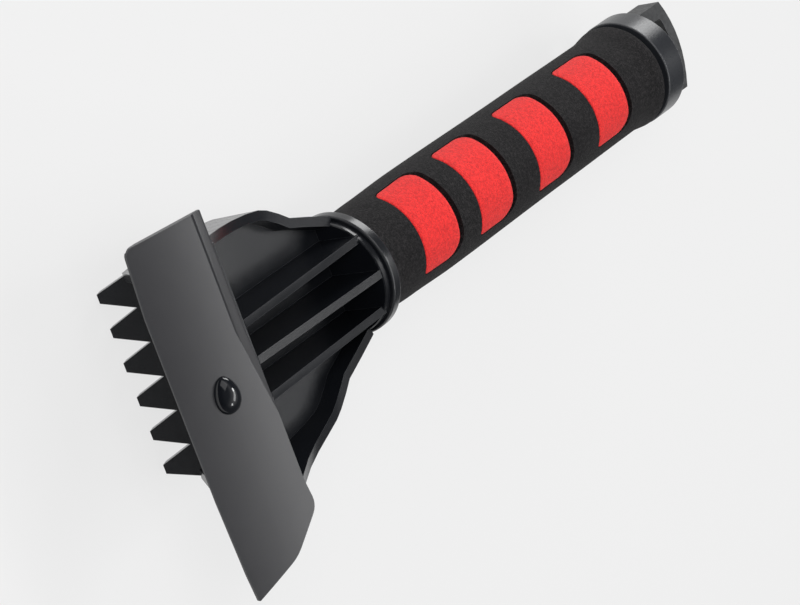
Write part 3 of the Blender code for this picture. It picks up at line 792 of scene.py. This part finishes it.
def makeGrip():
    front, tail, bore = gripLook["front"], gripLook["front"] - gripLook["length"], gripLook["bore"]
    soft = gripLook["endRound"]
    turns = (0.0, 0.5, 1.0)
    profile = [(front, bore)]
    for a in turns:
        profile.append((front - soft * (1 - math.cos(a)), gripRadius(front) - soft * (1 - math.sin(a))))
    rows = 56
    for k in range(1, rows):
        x = front - soft - (gripLook["length"] - 2 * soft) * (k - 1) / (rows - 2)
        profile.append((x, gripRadius(x)))
    for a in turns[::-1]:
        profile.append((tail + soft * (1 - math.cos(a)), gripRadius(tail) - soft * (1 - math.sin(a))))
    profile += [(tail, bore), (front, bore)]
    grip = turnedPiece("foamGrip", profile)
    for number, centre in enumerate(inlayLook["centres"], 1):
        gap, groove = inlayLook["gap"], inlayLook["groove"]
        low, high = -gripLook["pocketDepth"], gripLook["pocketTop"]
        pocket = makePatch(f"pocket{number}", centre, gap, groove, low, high, 0)
        cutWith(grip, pocket)
    smoothBy(grip, 40)
    mount(grip, "foam_grip", "black_foam")
    for number, centre in enumerate(inlayLook["centres"], 1):
        inlay = makePatch(f"gripInlay{number}", centre, 0, 0, -inlayLook["depth"], 0.0, inlayLook["round"])
        smoothBy(inlay, 40)
        mount(inlay, f"grip_inlay_{number}", "red_foam")


makeGrip()


plugLook = {"edge": 0.45}


def makeEndPlug():
    plug = copyNode("end_plug", "endPlug")
    softEdges(plug, plugLook["edge"], segments=3)
    mount(plug, "end_plug", "textured_black_plastic")


makeEndPlug()
for node, slot in (
    ("handle_tube", "tube_aluminium"),
    ("neck_pin", "zinc_steel"),
    ("tail_pin", "zinc_steel"),
    ("stud_push_nut", "zinc_steel"),
):
    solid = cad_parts[node]
    solid.data.materials.clear()
    solid.data.materials.append(materials[slot])
print("pieces finished")


studio = {
    "floorGlow": 0.735,
    "floorColour": (0.11, 0.11, 0.11),
    "floorSize": 6.0,
    "floorDrop": 0.0005,
    "bright": 1.12,
    # each dark card: where it stands, the cosines of its inner and outer edge, and the light that is left
    "cards": (
        ((0.7116, -0.2642, 0.6510), 0.80, 0.10, 0.09),
        ((-0.71, -0.27, 0.66), 0.99, 0.88, 0.15),
    ),
    # the tent is dark up to the first height and full from the second on; the third is the light left below
    "skirt": (0.42, 0.90, 0.08),
}
lamps = {
    "keyPanel": {"toward": (-0.49, 0.01, 0.88), "size": (0.20, 0.20), "power": 1.7},
    "sidePanel": {"toward": (0.07, 0.70, 0.71), "size": (0.16, 0.16), "power": 0.9},
    "wideFill": {"toward": (0.20, -0.60, 0.60), "size": (0.9, 0.9), "power": 3.0},
    "bladeStrip": {"toward": (-0.41, 0.27, 0.87), "size": (0.9, 0.26), "power": 3.4},
    "tailBox": {"toward": (-0.71, -0.66, 0.15), "size": (0.6, 0.5), "power": 6.5},
    "softFront": {"toward": (0.60, -0.30, 0.75), "size": (0.5, 0.5), "power": 6.6, "mirrored": False},
}


def makeFloor():
    clearSelection()
    bpy.ops.mesh.primitive_plane_add(size=studio["floorSize"], location=(0, 0, -studio["floorDrop"]))
    floor = bpy.context.object
    floor.name = "paleFloor"
    settle(floor)
    material, tree, shader = startMaterial("palePaper", Roughness=0.9)
    shader.inputs["Base Color"].default_value = (*studio["floorColour"], 1)
    shader.inputs["Specular IOR Level"].default_value = 0.1
    shader.inputs["Emission Color"].default_value = (1, 1, 1, 1)
    shader.inputs["Emission Strength"].default_value = studio["floorGlow"]
    floor.data.materials.append(material)


def smoothStep(tree, value, start, end, low, high):
    ramp = tree.nodes.new("ShaderNodeMapRange")
    ramp.interpolation_type = "SMOOTHSTEP"
    for key, number in (("From Min", start), ("From Max", end), ("To Min", low), ("To Max", high)):
        ramp.inputs[key].default_value = number
    join(tree, value, ramp.inputs["Value"])
    return ramp.outputs["Result"]


def makeWorld():
    world = bpy.data.worlds.new("studioTent")
    bpy.context.scene.world = world
    world.use_nodes = True
    tree = world.node_tree
    place = tree.nodes.new("ShaderNodeTexCoord")
    split = tree.nodes.new("ShaderNodeSeparateXYZ")
    join(tree, place.outputs["Generated"], split.inputs[0])
    low, high, left = studio["skirt"]
    skirt = smoothStep(tree, split.outputs["Z"], low, high, left, 1.0)
    strength = math2(tree, "MULTIPLY", skirt, studio["bright"])
    for toward, inner, outer, left in studio["cards"]:
        dot = addNode(tree, "ShaderNodeVectorMath", operation="DOT_PRODUCT")
        dot.inputs[1].default_value = Vector(toward).normalized()
        join(tree, place.outputs["Generated"], dot.inputs[0])
        card = smoothStep(tree, dot.outputs["Value"], outer, inner, 1.0, left)
        strength = math2(tree, "MULTIPLY", strength, card)
    join(tree, strength, tree.nodes["Background"].inputs["Strength"])
    tree.nodes["Background"].inputs["Color"].default_value = (0.985, 0.99, 1.0, 1.0)


def makeLamps():
    target = Vector((0, 0, 0.026))  # above the origin, near the handle's height
    distance = 1.1
    for name, lamp in lamps.items():
        data = bpy.data.lights.new(name, "AREA")
        data.shape = "RECTANGLE"
        data.size, data.size_y = lamp["size"]
        data.energy = lamp["power"]
        light = bpy.data.objects.new(name, data)
        light.visible_glossy = lamp.get("mirrored", True)
        toward = Vector(lamp["toward"]).normalized()
        aim = toward.to_track_quat("Z", "Y").to_matrix().to_4x4()
        light.matrix_world = Matrix.Translation(target + toward * distance) @ aim
        bpy.context.scene.collection.objects.link(light)


makeFloor()
makeWorld()
makeLamps()
bpy.context.scene.view_settings.view_transform = "Standard"
print("studio ready")

clearSelection()
